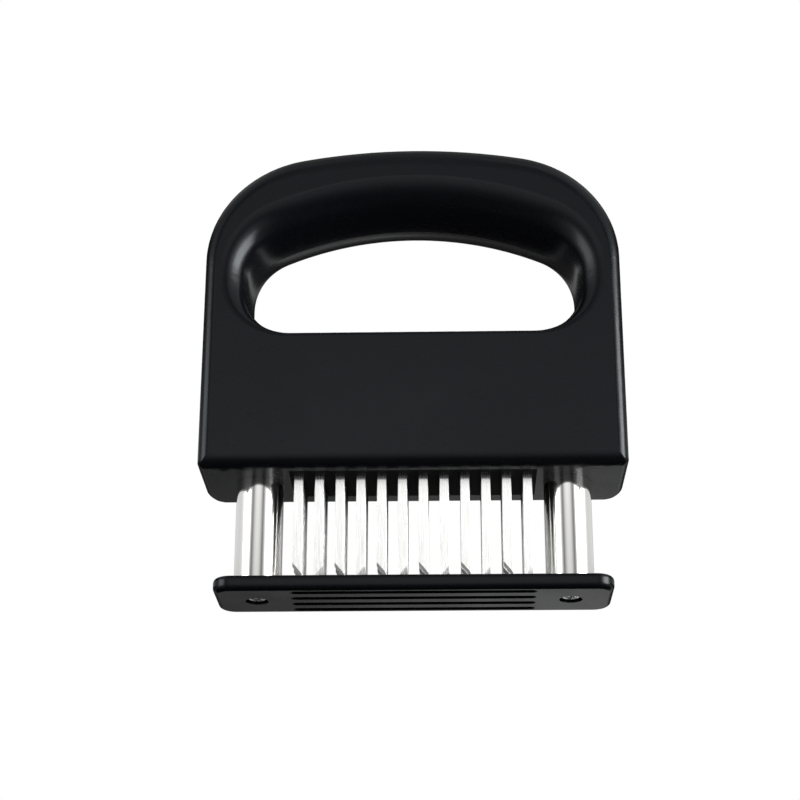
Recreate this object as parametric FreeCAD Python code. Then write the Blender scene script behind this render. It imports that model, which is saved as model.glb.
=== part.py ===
"""Blade meat tenderizer: a D-handled press with 48 blades and a sprung guard plate.

Units are millimetres.  +Z is up, X runs along the handle and the front of the tool faces -Y.
The origin is on the resting surface, at the centre of the guard plate's underside.
The guard is at rest, pushed fully down by its springs, with the blade tips just covered.
"""
import FreeCAD, Part
import math
import os

from FreeCAD import Vector

# ---------------------------------------------------------------- guard plate and its travel
plate_thickness = 3.86
plate_end_margin = 4.4
plate_rim = 2.1
plate_corner = 4.5
plate_top_round = 1.2
plate_edge_round = 1.5
guard_travel = 24.0
closed_gap = 3.28

# ---------------------------------------------------------------- blades
blades_per_row = 12
row_count = 4
blade_pitch = 5.234
row_pitch = 4.94
blade_width = 2.33
blade_thickness = 0.6
blade_tip_gap = 0.1
blade_slant_height = 2.8
head_width = 3.4
head_height = 2.0
grind_length = 1.0
edge_land = 0.08
slot_side_clearance = 0.9
slot_end_clearance = 0.55
blade_fit = 0.03

# ---------------------------------------------------------------- blade holder
holder_end_wall = 0.7
holder_side_wall = 2.0
holder_height = 12.6
holder_lip = 2.0
holder_lip_height = 2.5
holder_fit = 0.05
cap_thickness = 3.0
holder_screw_radius = 1.2
holder_screw_length = 9.0
holder_screw_head_radius = 2.3
holder_screw_head_height = 1.3
holder_screw_clearance = 0.15
holder_screw_step = 4

# ---------------------------------------------------------------- guide posts and bushes
post_radius = 6.03
post_wall = 0.8
post_seat_depth = 0.5
post_lip = 0.3
bush_running_clearance = 0.05
bush_wall = 1.0
bush_barrel_height = 5.5
bush_flange_height = 1.5
bush_flange_lip = 0.5
bush_web = 0.85
bush_boss_wall = 1.5
ring_thickness = 1.4
ring_width = 1.4
head_room = 1.14
plug_height = 10.0
guard_screw_radius = 1.5
guard_screw_length = 8.0
guard_screw_head_radius = 2.6
guard_screw_head_height = 1.4
guard_screw_head_clearance = 0.3
guard_screw_recess = 1.9

# ---------------------------------------------------------------- return springs
spring_turns = 15
spring_wire_radius = 0.5
spring_tube_clearance = 0.6
peg_flange_height = 1.5
peg_flange_clearance = 0.4
peg_shank_length = 6.0
peg_shank_clearance = 0.4
peg_spigot_radius = 2.4
peg_spigot_height = 1.3

# ---------------------------------------------------------------- handle casing
case_wall = 2.4
case_side_room = 5.03
case_lip_room = 0.62
front_side_round = 3.0
front_bottom_round = 2.9
front_side_flare = 6.6
rear_side_round = 7.0
rear_bottom_round = 0.8
rear_side_flare = 3.2
base_corner = 1.5
base_corner_least = 0.3
grip_height = 21.77
grip_flat = 3.0
arch_radius = 163.0
shoulder_radius = 31.6
opening_height = 35.79
column_width = 10.52
column_flat = 0.3
opening_arch_radius = 83.9
opening_shoulder_radius = 14.3
opening_base_radius = 14.0
opening_edge_round = 1.2
opening_side_least = 1.0
parting_groove = 0.12
rib_thickness = 2.0
rib_step = 2
rib_mid_gap = 0.5
round_step = 5.0
fix_precision = 1e-4
fix_greatest = 1e-3

# ---------------------------------------------------------------- casing screws
case_screw_radius = 1.5
case_screw_clearance = 0.2
case_screw_grip = 9.0
case_screw_floor = 5.0
case_screw_head_radius = 2.8
case_screw_head_height = 1.9
case_screw_head_clearance = 0.4
case_boss_wall = 1.5
case_screw_row_step = 4

# ---------------------------------------------------------------- cross recess of every screw
recess_share = 0.62
recess_slot_share = 0.28
recess_depth_share = 0.6

# ---------------------------------------------------------------- worked out from the above
blade_xs = [(i - (blades_per_row - 1) / 2.0) * blade_pitch for i in range(blades_per_row)]
row_ys = [(i - (row_count - 1) / 2.0) * row_pitch for i in range(row_count)]
underside_z = plate_thickness + guard_travel + closed_gap
floor_z = underside_z + case_wall
tip_z = plate_thickness + blade_tip_gap
bush_radius = post_radius + bush_running_clearance + bush_wall
bush_flange_z = underside_z + bush_barrel_height
bush_top_z = bush_flange_z + bush_flange_height
post_top_z = bush_top_z + ring_thickness + post_lip
ceiling_z = post_top_z + guard_travel + head_room
opening_base_z = ceiling_z + case_wall
opening_top_z = opening_base_z + opening_height
top_z = opening_top_z + grip_height
holder_half_length = blade_xs[-1] + head_width / 2.0 + blade_fit + holder_end_wall
holder_half_depth = row_ys[-1] + blade_thickness / 2.0 + blade_fit + holder_side_wall
holder_top_z = underside_z + holder_height
shoulder_z = holder_top_z - head_height
cap_top_z = holder_top_z + cap_thickness
post_x = holder_half_length + holder_fit + bush_web + bush_radius
ring_radius = post_radius + ring_width
case_half_width = post_x + ring_radius + case_side_room + case_wall
case_half_depth = holder_half_depth + holder_lip + case_lip_room + case_wall
opening_half_width = case_half_width - column_width
front_rounds = {
    "side": front_side_round, "bottom": front_bottom_round, "flare": front_side_flare
}
rear_rounds = {
    "side": rear_side_round, "bottom": rear_bottom_round, "flare": rear_side_flare
}
grip_round = (grip_height - grip_flat) / 2.0
post_bore_radius = post_radius - post_wall
post_base_z = plate_thickness - post_seat_depth
plug_top_z = post_base_z + plug_height
peg_z = ceiling_z - peg_flange_height
spring_outer_radius = post_bore_radius - spring_tube_clearance
spring_mean_radius = spring_outer_radius - spring_wire_radius
peg_shank_radius = spring_mean_radius - spring_wire_radius - peg_shank_clearance
case_boss_radius = case_screw_head_radius + case_screw_head_clearance + case_boss_wall
slot_half_length = blade_xs[-1] + blade_width / 2.0 + slot_end_clearance
slot_half_width = blade_thickness / 2.0 + slot_side_clearance
plate_half_width = post_x + post_radius + plate_end_margin
plate_half_depth = row_ys[-1] + slot_half_width + plate_rim


# ---------------------------------------------------------------- small helpers
def centred_box(half_x, half_y, low_z, high_z, centre_x=0.0, centre_y=0.0):
    """Box centred on a point in plan, between two heights."""
    corner = Vector(centre_x - half_x, centre_y - half_y, low_z)
    return Part.makeBox(2.0 * half_x, 2.0 * half_y, high_z - low_z, corner)


def upright(radius, low_z, high_z, x=0.0, y=0.0):
    """Upright cylinder between two heights."""
    return Part.makeCylinder(radius, high_z - low_z, Vector(x, y, low_z))


def tube(outer, inner, low_z, high_z, x=0.0):
    """Upright tube between two heights."""
    return upright(outer, low_z, high_z, x).cut(upright(inner, low_z, high_z, x))


def along_y(radius, x, z, low_y, high_y):
    """Cylinder along Y between two depths."""
    return Part.makeCylinder(radius, high_y - low_y, Vector(x, low_y, z), Vector(0, 1, 0))


def fuse_all(shapes):
    """One shape of all the given ones, with needless seams removed."""
    whole = shapes[0]
    if len(shapes) > 1:
        whole = whole.fuse(shapes[1:])
    return whole.removeSplitter()


def mirrored(shape, normal):
    """Copy mirrored in the plane through the origin with this normal."""
    return shape.mirror(Vector(0, 0, 0), normal)


def arc_edge(centre_x, centre_z, radius, start, end, y):
    """Arc in the XZ plane at depth y, between two angles in degrees from +X towards +Z."""
    angles = [math.radians(a) for a in (start, (start + end) / 2.0, end)]
    points = [
        Vector(centre_x + radius * math.cos(a), y, centre_z + radius * math.sin(a))
        for a in angles
    ]
    return Part.Arc(*points).toShape()


def line_edge(x0, z0, x1, z1, y):
    """Straight edge in the XZ plane at depth y."""
    return Part.LineSegment(Vector(x0, y, z0), Vector(x1, y, z1)).toShape()


# ---------------------------------------------------------------- handle casing surfaces
def shoulder_centre(half_width, top, arch, shoulder):
    """Centre of the arc that is tangent to the arch and to the side of an arched outline."""
    x = half_width - shoulder
    rise = math.sqrt((arch - shoulder) ** 2 - x ** 2)
    return x, top - arch + rise


def arched_outline(half_width, base_z, top, arch, shoulder, corner, y):
    """Closed outline: flat base, rounded base corners, upright sides, shoulders and an arch.

    The arch is centred on X = 0, and each shoulder is tangent to it and to its side.
    """
    arch_centre_z = top - arch
    shoulder_x, side_top_z = shoulder_centre(half_width, top, arch, shoulder)
    turn = math.degrees(math.atan2(side_top_z - arch_centre_z, shoulder_x))
    side_base_z = base_z + corner
    base_x = half_width - corner
    edges = [
        line_edge(-base_x, base_z, base_x, base_z, y),
        arc_edge(base_x, side_base_z, corner, -90.0, 0.0, y),
        line_edge(half_width, side_base_z, half_width, side_top_z, y),
        arc_edge(shoulder_x, side_top_z, shoulder, 0.0, turn, y),
        arc_edge(0.0, arch_centre_z, arch, turn, 180.0 - turn, y),
        arc_edge(-shoulder_x, side_top_z, shoulder, 180.0 - turn, 180.0, y),
        line_edge(-half_width, side_top_z, -half_width, side_base_z, y),
        arc_edge(-base_x, side_base_z, corner, 180.0, 270.0, y),
    ]
    return Part.Wire(edges)


def circular_inset(depth, half_depth, radius):
    """How far an edge round has drawn in at this depth from the middle plane."""
    reach = max(0.0, depth - (half_depth - radius))
    return radius - math.sqrt(max(0.0, radius ** 2 - reach ** 2))


def outer_outline(angle, inset, rounds):
    """Outline of the casing, or of its inside when inset is the wall, at one round angle."""
    half_depth = case_half_depth - inset
    depth = half_depth * math.sin(angle)
    crown = (grip_round - inset) * (1.0 - math.cos(angle))
    side = circular_inset(depth, half_depth, max(0.0, rounds["side"] - inset))
    base = circular_inset(depth, half_depth, max(0.0, rounds["bottom"] - inset))
    return arched_outline(
        case_half_width - inset - side,
        underside_z + inset + base,
        top_z - inset - crown,
        arch_radius - inset - crown,
        shoulder_radius - inset - (crown + side) / 2.0,
        max(base_corner_least, base_corner - (inset + side + base) / 2.0),
        -depth,
    )


def opening_corner_radius():
    """Radius of the opening's lower corners, limited by the height of its sides."""
    side_top_z = shoulder_centre(
        opening_half_width, opening_top_z, opening_arch_radius, opening_shoulder_radius
    )[1]
    return min(opening_base_radius, side_top_z - opening_base_z - opening_side_least)


def opening_outline(angle, inset, rounds):
    """Outline of the finger opening, or of the wall round it, at one round angle."""
    flare = min(rounds["flare"], column_width - rounds["side"] - column_flat)
    half_depth = case_half_depth - inset
    depth = half_depth * math.sin(angle)
    crown = (grip_round - inset) * (1.0 - math.cos(angle))
    side = circular_inset(depth, half_depth, max(0.0, flare - inset))
    base = circular_inset(depth, half_depth, max(0.0, opening_edge_round - inset))
    return arched_outline(
        opening_half_width + inset + side,
        opening_base_z - inset - base,
        opening_top_z + inset + crown,
        opening_arch_radius + inset + crown,
        opening_shoulder_radius + inset + (crown + side) / 2.0,
        opening_corner_radius() + inset + (side + base) / 2.0,
        -depth,
    )


def handle_form(inset, rounds):
    """Half of the handle's form on the -Y side, drawn in by inset on every side."""
    angles = [math.radians(round_step * i) for i in range(int(90.0 / round_step) + 1)]
    outer_wires = [outer_outline(a, inset, rounds) for a in angles]
    inner_wires = [opening_outline(a, inset, rounds) for a in angles]
    faces = list(Part.makeLoft(outer_wires, False, False).Faces)
    faces += Part.makeLoft(inner_wires, False, False).Faces
    faces.append(Part.Face([outer_wires[0], inner_wires[0]]))
    faces.append(Part.Face([outer_wires[-1], inner_wires[-1]]))
    shell = Part.makeShell(faces)
    shell.sewShape()
    solid = Part.makeSolid(Part.Shell(shell.Faces))
    solid.fix(fix_precision, fix_precision, fix_greatest)
    if solid.Volume < 0.0:
        solid.reverse()
    return solid


def parting_rebate(rounds):
    """Fine step along the outer edges of a half, where it meets the other half."""
    rings = []
    for outline in (outer_outline, opening_outline):
        wires = [outline(0.0, inset, rounds) for inset in (-parting_groove, parting_groove)]
        wires.sort(key=lambda wire: -wire.BoundBox.XLength)
        rings.append(Part.Face(wires).extrude(Vector(0, -parting_groove, 0)))
    return rings


# ---------------------------------------------------------------- handle casing
def case_screw_places():
    """The four casing screws, as (x, z): two in the block and two in the shoulders."""
    block_z = (cap_top_z + ceiling_z) / 2.0
    block_x = case_screw_row_step * blade_pitch
    outer_x, outer_z = shoulder_centre(case_half_width, top_z, arch_radius, shoulder_radius)
    inner_x, inner_z = shoulder_centre(
        opening_half_width, opening_top_z, opening_arch_radius, opening_shoulder_radius
    )
    reach = (shoulder_radius + opening_shoulder_radius) * math.sqrt(0.5)
    shoulder_place_x = (outer_x + inner_x + reach) / 2.0
    shoulder_place_z = (outer_z + inner_z + reach) / 2.0
    return [
        (-block_x, block_z),
        (block_x, block_z),
        (-shoulder_place_x, shoulder_place_z),
        (shoulder_place_x, shoulder_place_z),
    ]


def kept_inside():
    """Solid places inside a half: bush bosses, hold-down ribs and screw bosses."""
    rib_half_y = (case_half_depth - rib_mid_gap) / 2.0
    rib_y = -rib_mid_gap - rib_half_y
    solids = []
    for side in (-1, 1):
        boss_radius = bush_radius + bush_boss_wall
        solids.append(upright(boss_radius, underside_z, bush_flange_z, side * post_x))
        rib_x = side * rib_step * blade_pitch
        solids.append(centred_box(
            rib_thickness / 2.0, rib_half_y, cap_top_z, opening_base_z, rib_x, rib_y
        ))
    for x, z in case_screw_places():
        solids.append(along_y(case_boss_radius, x, z, -case_half_depth, case_half_depth))
    return solids


def case_half(rounds):
    """Hollow half of the casing on the -Y side with its ribs and bosses, without screw holes."""
    cavity = handle_form(case_wall, rounds).cut(kept_inside())
    body = handle_form(0.0, rounds).cut(cavity)
    window = centred_box(
        holder_half_length + holder_fit, holder_half_depth + holder_fit, 0.0, bush_flange_z
    )
    cuts = [window] + parting_rebate(rounds)
    for side in (-1, 1):
        x = side * post_x
        cuts.append(upright(bush_radius, 0.0, bush_flange_z, x))
        cuts.append(upright(peg_spigot_radius, ceiling_z, ceiling_z + peg_spigot_height, x))
    return body.cut(cuts)


def front_shell(half):
    """Front casing half with blind holes for the casing screws."""
    holes = [
        along_y(case_screw_radius, x, z, -case_screw_grip, 0.0)
        for x, z in case_screw_places()
    ]
    return half.cut(holes)


def rear_shell(half):
    """Rear casing half with sunk clearance holes for the casing screws."""
    cuts = []
    for x, z in case_screw_places():
        cuts.append(along_y(case_screw_radius + case_screw_clearance, x, z, 0.0, case_screw_floor))
        cuts.append(along_y(
            case_screw_head_radius + case_screw_head_clearance, x, z,
            case_screw_floor, 2.0 * case_half_depth
        ))
    return mirrored(half, Vector(0, 1, 0)).cut(cuts)


# ---------------------------------------------------------------- screws
def screw(shank_radius, length, head_radius, head_height):
    """Pan-head screw with a cross recess, pointing down, its head's bearing face at z = 0."""
    head = upright(head_radius, 0.0, head_height)
    top_edges = [e for e in head.Edges if abs(e.BoundBox.ZMin - head_height) < 1e-6]
    head = head.makeFillet(head_height / 2.0, top_edges)
    body = head.fuse(upright(shank_radius, -length, 0.0)).removeSplitter()
    recess_base = head_height * (1.0 - recess_depth_share)
    long_half = head_radius * recess_share
    short_half = long_half * recess_slot_share
    body = body.cut(centred_box(long_half, short_half, recess_base, head_height))
    return body.cut(centred_box(short_half, long_half, recess_base, head_height))


def turned(shape, axis, angle, place):
    """Copy turned about an axis through the origin, then moved."""
    copy = shape.copy()
    copy.rotate(Vector(0, 0, 0), axis, angle)
    copy.translate(place)
    return copy


def case_screws():
    """Four casing screws, driven from the rear."""
    model = screw(
        case_screw_radius, case_screw_floor + case_screw_grip,
        case_screw_head_radius, case_screw_head_height
    )
    return Part.makeCompound([
        turned(model, Vector(1, 0, 0), -90.0, Vector(x, case_screw_floor, z))
        for x, z in case_screw_places()
    ])


def guard_screw(x):
    """Screw driven up through the guard plate into a post's plug."""
    model = screw(
        guard_screw_radius, guard_screw_length, guard_screw_head_radius, guard_screw_head_height
    )
    return turned(model, Vector(1, 0, 0), 180.0, Vector(x, 0.0, guard_screw_recess))


# ---------------------------------------------------------------- blades and their holder
def blade():
    """One blade at x = y = 0: a headed strip with a slanted, ground tip, pointed on the right."""
    half = blade_width / 2.0
    head = head_width / 2.0
    outline = [
        (-half, tip_z + blade_slant_height),
        (half, tip_z),
        (half, shoulder_z),
        (head, shoulder_z),
        (head, holder_top_z),
        (-head, holder_top_z),
        (-head, shoulder_z),
        (-half, shoulder_z),
    ]
    front_y = -blade_thickness / 2.0
    corners = [Vector(x, front_y, z) for x, z in outline + outline[:1]]
    strip = Part.Face(Part.makePolygon(corners)).extrude(Vector(0, blade_thickness, 0))
    return strip.cut(tip_grind())


def tip_grind():
    """Wedge ground off the back of the blade along its slanted tip."""
    half = blade_width / 2.0
    start = Vector(-half, 0.0, tip_z + blade_slant_height)
    run = Vector(half, 0.0, tip_z) - start
    across = Vector(run.z, 0.0, -run.x).normalize() * -grind_length
    if across.z < 0.0:
        across = across * -1.0
    back = Vector(0, blade_thickness / 2.0, 0)
    land = Vector(0, edge_land - blade_thickness / 2.0, 0)
    corners = [start + land, start + back, start + back + across]
    wedge = Part.Face(Part.makePolygon(corners + corners[:1]))
    wedge.translate(run * -1.0)
    return wedge.extrude(run * 3.0)


def blade_row(model, y):
    """Twelve separate blades; every other one has its point on the left."""
    flipped = mirrored(model, Vector(1, 0, 0))
    solids = []
    for index, x in enumerate(blade_xs):
        copy = (model if index % 2 == 0 else flipped).copy()
        copy.translate(Vector(x, y, 0.0))
        solids.append(copy)
    return Part.makeCompound(solids)


def holder_screw_xs():
    """Places of the holder screws, midway between two rows and between two columns."""
    step = holder_screw_step * blade_pitch
    return [-step, 0.0, step]


def blade_holder():
    """Block with a stepped slot for every blade and a lip that rests on the casing's floor."""
    block = centred_box(holder_half_length, holder_half_depth, underside_z, holder_top_z)
    lip = centred_box(
        holder_half_length, holder_half_depth + holder_lip, floor_z, floor_z + holder_lip_height
    )
    block = fuse_all([block, lip])
    half_y = blade_thickness / 2.0 + blade_fit
    cuts = []
    for y in row_ys:
        for x in blade_xs:
            cuts.append(centred_box(
                blade_width / 2.0 + blade_fit, half_y, underside_z, shoulder_z, x, y
            ))
            cuts.append(centred_box(
                head_width / 2.0 + blade_fit, half_y, shoulder_z, holder_top_z, x, y
            ))
    depth = holder_screw_length - cap_thickness
    for x in holder_screw_xs():
        cuts.append(upright(holder_screw_radius, holder_top_z - depth, holder_top_z, x))
    return block.cut(cuts)


def holder_cap():
    """Plate that locks the blade heads in the holder."""
    plate = centred_box(holder_half_length, holder_half_depth, holder_top_z, cap_top_z)
    radius = holder_screw_radius + holder_screw_clearance
    return plate.cut([upright(radius, holder_top_z, cap_top_z, x) for x in holder_screw_xs()])


def holder_screws():
    """Three screws that hold the cap on the blade holder."""
    model = screw(
        holder_screw_radius, holder_screw_length, holder_screw_head_radius, holder_screw_head_height
    )
    solids = []
    for x in holder_screw_xs():
        copy = model.copy()
        copy.translate(Vector(x, 0.0, cap_top_z))
        solids.append(copy)
    return Part.makeCompound(solids)


# ---------------------------------------------------------------- guide posts
def guide_bush(x):
    """Flanged bush that a post slides in."""
    barrel = upright(bush_radius, underside_z, bush_top_z, x)
    flange = upright(bush_radius + bush_flange_lip, bush_flange_z, bush_top_z, x)
    bore = upright(post_radius + bush_running_clearance, underside_z, bush_top_z, x)
    return fuse_all([barrel, flange]).cut(bore)


def guide_post(x):
    """Hollow polished post that stands on the guard plate."""
    return tube(post_radius, post_bore_radius, post_base_z, post_top_z, x)


def stop_ring(x):
    """Ring fixed round the top of a post, which rests on the bush."""
    return tube(ring_radius, post_radius, bush_top_z, bush_top_z + ring_thickness, x)


def post_plug(x):
    """Threaded plug in the lower end of a post."""
    return tube(post_bore_radius, guard_screw_radius, post_base_z, plug_top_z, x)


def spring_peg(x):
    """Peg under the casing's ceiling that centres the upper end of a return spring."""
    spigot = upright(peg_spigot_radius, peg_z, ceiling_z + peg_spigot_height, x)
    flange = upright(post_bore_radius - peg_flange_clearance, peg_z, ceiling_z, x)
    shank = upright(peg_shank_radius, peg_z - peg_shank_length, peg_z, x)
    return fuse_all([shank, flange, spigot])


def return_spring(x):
    """Compression spring inside a post, from the plug's top to the peg's flange."""
    low_z = plug_top_z + spring_wire_radius
    height = peg_z - spring_wire_radius - low_z
    helix = Part.makeHelix(height / spring_turns, height, spring_mean_radius)
    ring = Part.makeCircle(spring_wire_radius, Vector(spring_mean_radius, 0, 0), Vector(0, 1, 0))
    coil = Part.Wire(helix).makePipeShell([Part.Wire(ring)], True, True)
    coil.translate(Vector(x, 0.0, low_z))
    return coil


# ---------------------------------------------------------------- guard plate
def rounded_slot(y):
    """Long slot with round ends for one row of blades."""
    straight = slot_half_length - slot_half_width
    slot = centred_box(straight, slot_half_width, 0.0, plate_thickness, 0.0, y)
    ends = [upright(slot_half_width, 0.0, plate_thickness, s * straight, y) for s in (-1, 1)]
    return slot.fuse(ends)


def guard_plate():
    """Plate with a slot for every blade row and a sunk screw place under each post."""
    plate = centred_box(plate_half_width, plate_half_depth, 0.0, plate_thickness)
    corners = [e for e in plate.Edges if e.BoundBox.ZLength > plate_thickness / 2.0]
    plate = plate.makeFillet(plate_corner, corners)
    upper = [e for e in plate.Edges if e.BoundBox.ZMin > plate_thickness - 1e-6]
    plate = plate.makeFillet(plate_top_round, upper)
    lower = [e for e in plate.Edges if e.BoundBox.ZMax < 1e-6]
    plate = plate.makeFillet(plate_edge_round, lower)
    cuts = [rounded_slot(y) for y in row_ys]
    for side in (-1, 1):
        x = side * post_x
        cuts.append(upright(post_radius, post_base_z, plate_thickness, x))
        cuts.append(upright(guard_screw_radius, 0.0, plate_thickness, x))
        cuts.append(upright(
            guard_screw_head_radius + guard_screw_head_clearance, 0.0, guard_screw_recess, x
        ))
    return plate.cut(cuts)


# ---------------------------------------------------------------- every node
def all_parts():
    """Every sub-part by its name."""
    model = blade()
    parts = {
        "front_shell": front_shell(case_half(front_rounds)),
        "rear_shell": rear_shell(case_half(rear_rounds)),
        "case_screws": case_screws(),
        "blade_holder": blade_holder(),
        "holder_cap": holder_cap(),
        "holder_screws": holder_screws(),
        "guard_plate": guard_plate(),
    }
    for index, y in enumerate(row_ys):
        parts["blade_row_%d" % (index + 1)] = blade_row(model, y)
    for name, side in (("left", -1), ("right", 1)):
        x = side * post_x
        parts[name + "_bush"] = guide_bush(x)
        parts[name + "_post"] = guide_post(x)
        parts[name + "_stop_ring"] = stop_ring(x)
        parts[name + "_post_plug"] = post_plug(x)
        parts[name + "_spring_peg"] = spring_peg(x)
        parts[name + "_spring"] = return_spring(x)
        parts[name + "_guard_screw"] = guard_screw(x)
    return parts


os.makedirs("parts", exist_ok=True)
for name, shape in all_parts().items():
    shape.exportStep("parts/%s.step" % name)
    print("%-20s solids %2d  volume %9.1f mm3  valid %s" % (
        name, len(shape.Solids), shape.Volume, shape.isValid()
    ))
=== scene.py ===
"""Looks of a hand press with 48 blades and a sprung guard plate, built round its CAD frame.

Lengths are metres.  +Z is up, X runs along the grip and the front faces -Y.
"""
import logging
import math
from dataclasses import dataclass
from enum import Enum, IntEnum
from typing import Iterable, Optional, Sequence, Union

import bmesh
import bpy
from mathutils import Matrix, Vector


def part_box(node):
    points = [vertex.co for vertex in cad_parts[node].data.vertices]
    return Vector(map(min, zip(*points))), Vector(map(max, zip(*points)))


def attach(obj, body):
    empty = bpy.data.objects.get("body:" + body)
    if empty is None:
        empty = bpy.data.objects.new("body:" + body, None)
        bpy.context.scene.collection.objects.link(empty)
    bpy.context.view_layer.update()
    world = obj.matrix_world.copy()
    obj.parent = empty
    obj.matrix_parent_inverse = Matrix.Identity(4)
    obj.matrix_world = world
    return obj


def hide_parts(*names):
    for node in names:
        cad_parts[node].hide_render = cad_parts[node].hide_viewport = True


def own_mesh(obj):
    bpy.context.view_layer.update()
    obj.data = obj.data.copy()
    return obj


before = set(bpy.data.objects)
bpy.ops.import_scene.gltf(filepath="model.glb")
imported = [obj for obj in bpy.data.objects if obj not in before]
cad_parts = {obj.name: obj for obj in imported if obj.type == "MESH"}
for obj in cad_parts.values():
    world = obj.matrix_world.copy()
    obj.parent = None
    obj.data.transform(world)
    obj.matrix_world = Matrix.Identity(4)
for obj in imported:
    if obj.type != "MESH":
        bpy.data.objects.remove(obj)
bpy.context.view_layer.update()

log = logging.getLogger("press")

Colour = tuple[float, float, float]
Place = tuple[float, float, float]
Pairs = tuple[tuple[float, float], ...]
Socket = bpy.types.NodeSocket
Source = Union[Socket, float, Sequence[float], bpy.types.ID, str]
Inputs = dict[Union[str, int], Source]

POST_X = 0.039197
WHITE = (1.0, 1.0, 1.0)
NOISE_REACH = (0.3, 0.7)
MERGE_DISTANCE = 1e-8
HALF_TURN = 180.0
QUARTER_TURN = 90.0
SOCKET_KINDS = {
    int: "NodeSocketInt",
    float: "NodeSocketFloat",
    tuple: "NodeSocketVector",
    bpy.types.Object: "NodeSocketObject",
    bpy.types.Material: "NodeSocketMaterial",
}


# ---------------------------------------------------------------- names shared with the frame
class Body(Enum):
    """The two bodies that move against each other."""

    HANDLE = "handle"
    GUARD = "guard"


class Slot(Enum):
    """Slots of the part's record that new pieces take."""

    BLADE = "blade_steel"
    POST = "post_steel"
    SPRING = "spring_steel"
    SCREW = "screw_steel"


class Side(Enum):
    """Left and right of the middle plane, as the sign of X."""

    LEFT = -1
    RIGHT = 1


class Drive(Enum):
    """Which way a screw points, as its turns about X, Y and Z in degrees."""

    DOWN = (0.0, 0.0, 0.0)
    UP = (180.0, 0.0, 0.0)
    FORWARD = (-90.0, 0.0, 0.0)


class BladeFace(IntEnum):
    """How a face of a blade was cut."""

    ROLLED = 0
    GROUND = 1
    SHEARED = 2


# ---------------------------------------------------------------- node trees
@dataclass(frozen=True)
class Span:
    """Clamped change of the range low to high into the range start to end."""

    low: Source
    high: Source
    start: Source
    end: Source
    smooth: bool = False


@dataclass(frozen=True)
class Grain:
    """One layer of noise, with its waves in a metre before any stretch along the axes."""

    waves: float
    detail: float = 2.0
    warp: float = 0.0
    stretch: Optional[Place] = None


def opaque(colour: Colour, factor: float = 1.0) -> tuple[float, ...]:
    """The colour made lighter or darker by a factor, with an alpha of one."""
    return (*(min(1.0, channel * factor) for channel in colour), 1.0)


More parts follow.
